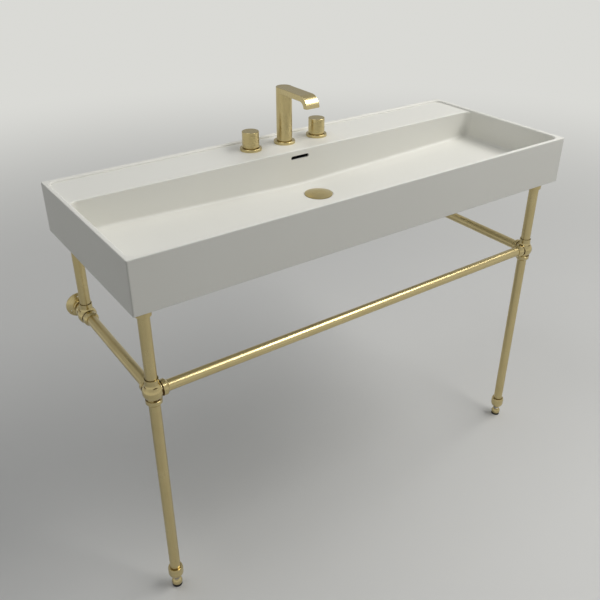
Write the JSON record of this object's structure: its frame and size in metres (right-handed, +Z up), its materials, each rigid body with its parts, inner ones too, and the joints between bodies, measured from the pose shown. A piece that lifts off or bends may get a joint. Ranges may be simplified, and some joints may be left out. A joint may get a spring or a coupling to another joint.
{
  "type": "console sink with legs",
  "caption": "Wide rectangular console basin with a raised rim and overflow, carried by a ball-jointed brass pipe frame with a towel rail, levelling feet and wall flanges.",
  "frame": {"origin": "on the floor, at the middle of the basin's width and of its depth, which is the bottom centre of the box round the whole", "axes": "+Z up, +X to the right as seen from the front, the front faces -Y and the wall is at +Y"},
  "size_m": [1.219, 0.47, 1.0615],
  "materials": {
    "fireclay": "gloss",
    "frame_brass": "satin",
    "faucet_brass": "satin",
    "drain_brass": "satin",
    "stud_steel": "satin",
    "black_rubber": "matte",
    "aerator_plastic": "matte"
  },
  "bodies": {
    "stand": {"basin": "fireclay", "ball_fitting_front_left": "frame_brass", "ball_fitting_front_right": "frame_brass", "ball_fitting_rear_left": "frame_brass", "ball_fitting_rear_right": "frame_brass", "front_lock_rings": "frame_brass", "rear_lock_rings": "frame_brass", "leg_lower_left": "frame_brass", "leg_lower_right": "frame_brass", "leg_upper_left": "frame_brass", "leg_upper_right": "frame_brass", "rear_post_left": "frame_brass", "rear_post_right": "frame_brass", "side_rail_left": "frame_brass", "side_rail_right": "frame_brass", "wall_stub_left": "frame_brass", "wall_stub_right": "frame_brass", "front_rail": "frame_brass", "top_socket_front_left": "frame_brass", "top_socket_front_right": "frame_brass", "top_socket_rear_left": "frame_brass", "top_socket_rear_right": "frame_brass", "wall_flange_left": "frame_brass", "wall_flange_right": "frame_brass", "foot_socket_left": "frame_brass", "foot_socket_right": "frame_brass", "spout": "faucet_brass", "spout_base_ring": "faucet_brass", "spout_shank": "faucet_brass", "spout_nut": "faucet_brass", "hot_base_ring": "faucet_brass", "hot_valve_body": "faucet_brass", "hot_nut": "faucet_brass", "cold_base_ring": "faucet_brass", "cold_valve_body": "faucet_brass", "cold_nut": "faucet_brass", "spout_washer": "black_rubber", "hot_washer": "black_rubber", "cold_washer": "black_rubber", "spout_aerator": "aerator_plastic", "drain_flange": "drain_brass", "drain_nut": "drain_brass", "drain_washer": "stud_steel", "drain_tailpiece": "drain_brass", "drain_gasket": "black_rubber"},
    "hot_tap": {"hot_handle": "faucet_brass", "hot_stem": "faucet_brass"},
    "cold_tap": {"cold_handle": "faucet_brass", "cold_stem": "faucet_brass"},
    "drain_cover": {"drain_plug": "drain_brass", "drain_plug_seal": "black_rubber"},
    "left_foot_pad": {"foot_pad_left": "black_rubber"},
    "left_foot": {"foot_ball_left": "frame_brass", "foot_stud_left": "stud_steel"},
    "right_foot_pad": {"foot_pad_right": "black_rubber"},
    "right_foot": {"foot_ball_right": "frame_brass", "foot_stud_right": "stud_steel"}
  },
  "joints": [
    {"name": "hot_handle_turn", "type": "hinge", "parent": "stand", "child": "hot_tap", "pos_m": [-0.1016, 0.1665, 0.919], "axis": [0, 0, 1], "range_deg": [0, 90]},
    {"name": "cold_handle_turn", "type": "hinge", "parent": "stand", "child": "cold_tap", "pos_m": [0.1016, 0.1665, 0.919], "axis": [0, 0, 1], "range_deg": [-90, 0]},
    {"name": "drain_cover_lift", "type": "slide", "parent": "stand", "child": "drain_cover", "axis": [0, 0, 1], "range_m": [0, 0.01]},
    {"name": "left_foot_height", "type": "slide", "parent": "stand", "child": "left_foot_pad", "axis": [0, 0, 1], "range_m": [-0.003, 0.003]},
    {"name": "left_foot_turn", "type": "hinge", "parent": "left_foot_pad", "child": "left_foot", "pos_m": [-0.5745, -0.194, 0], "axis": [0, 0, 1], "range_deg": [-720, 720]},
    {"name": "right_foot_height", "type": "slide", "parent": "stand", "child": "right_foot_pad", "axis": [0, 0, 1], "range_m": [-0.003, 0.003]},
    {"name": "right_foot_turn", "type": "hinge", "parent": "right_foot_pad", "child": "right_foot", "pos_m": [0.5745, -0.194, 0], "axis": [0, 0, 1], "range_deg": [-720, 720]}
  ],
  "couplings": [
    {"joint": "left_foot_turn", "follows": "left_foot_height", "rad_per_m": 4188.8},
    {"joint": "right_foot_turn", "follows": "right_foot_height", "rad_per_m": 4188.8}
  ]
}
